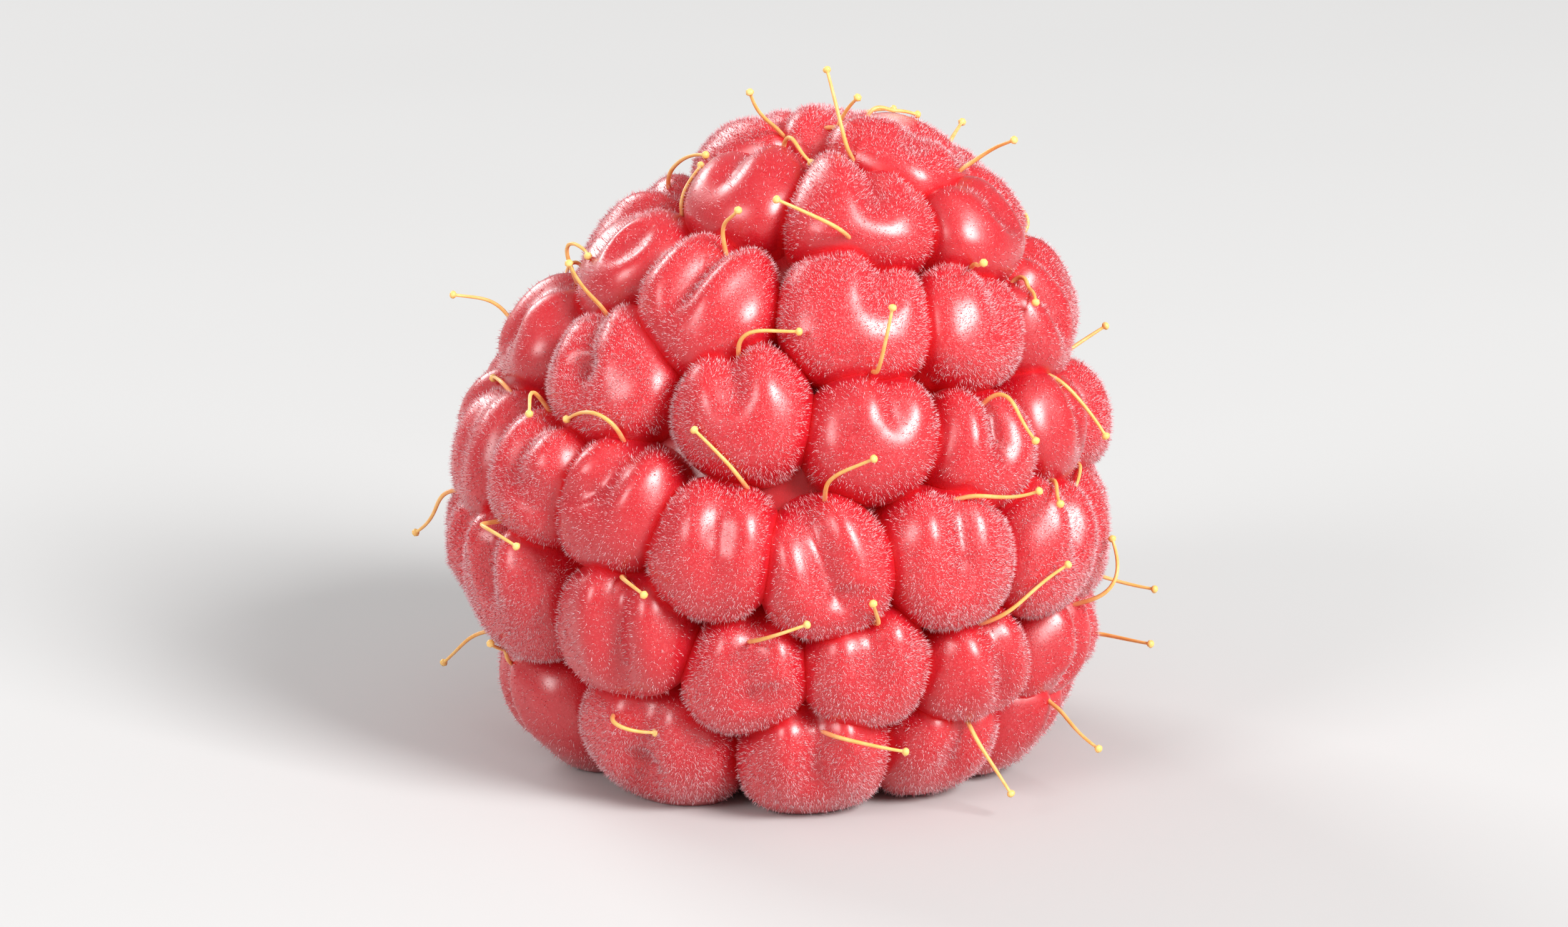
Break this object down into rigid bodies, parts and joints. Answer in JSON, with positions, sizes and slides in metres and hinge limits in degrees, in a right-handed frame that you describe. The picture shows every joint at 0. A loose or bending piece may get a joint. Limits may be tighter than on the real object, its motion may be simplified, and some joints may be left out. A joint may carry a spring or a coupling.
{
  "type": "raspberry",
  "caption": "Ripe raspberry as picked: an egg-shaped hollow fruit of round drupelets grown together, standing on its open end with the tip up.",
  "frame": {"origin": "on the surface that the fruit stands on, under the middle of its bounding box", "axes": "+Z from the open end up to the tip; the rows of drupelets lean and the tip stands over to +X; +Y makes a right-handed frame"},
  "size_m": [0.0206, 0.0206, 0.0201],
  "materials": {
    "drupelet_flesh": "satin"
  },
  "bodies": {
    "root": {"raspberry": "drupelet_flesh"}
  },
  "joints": []
}
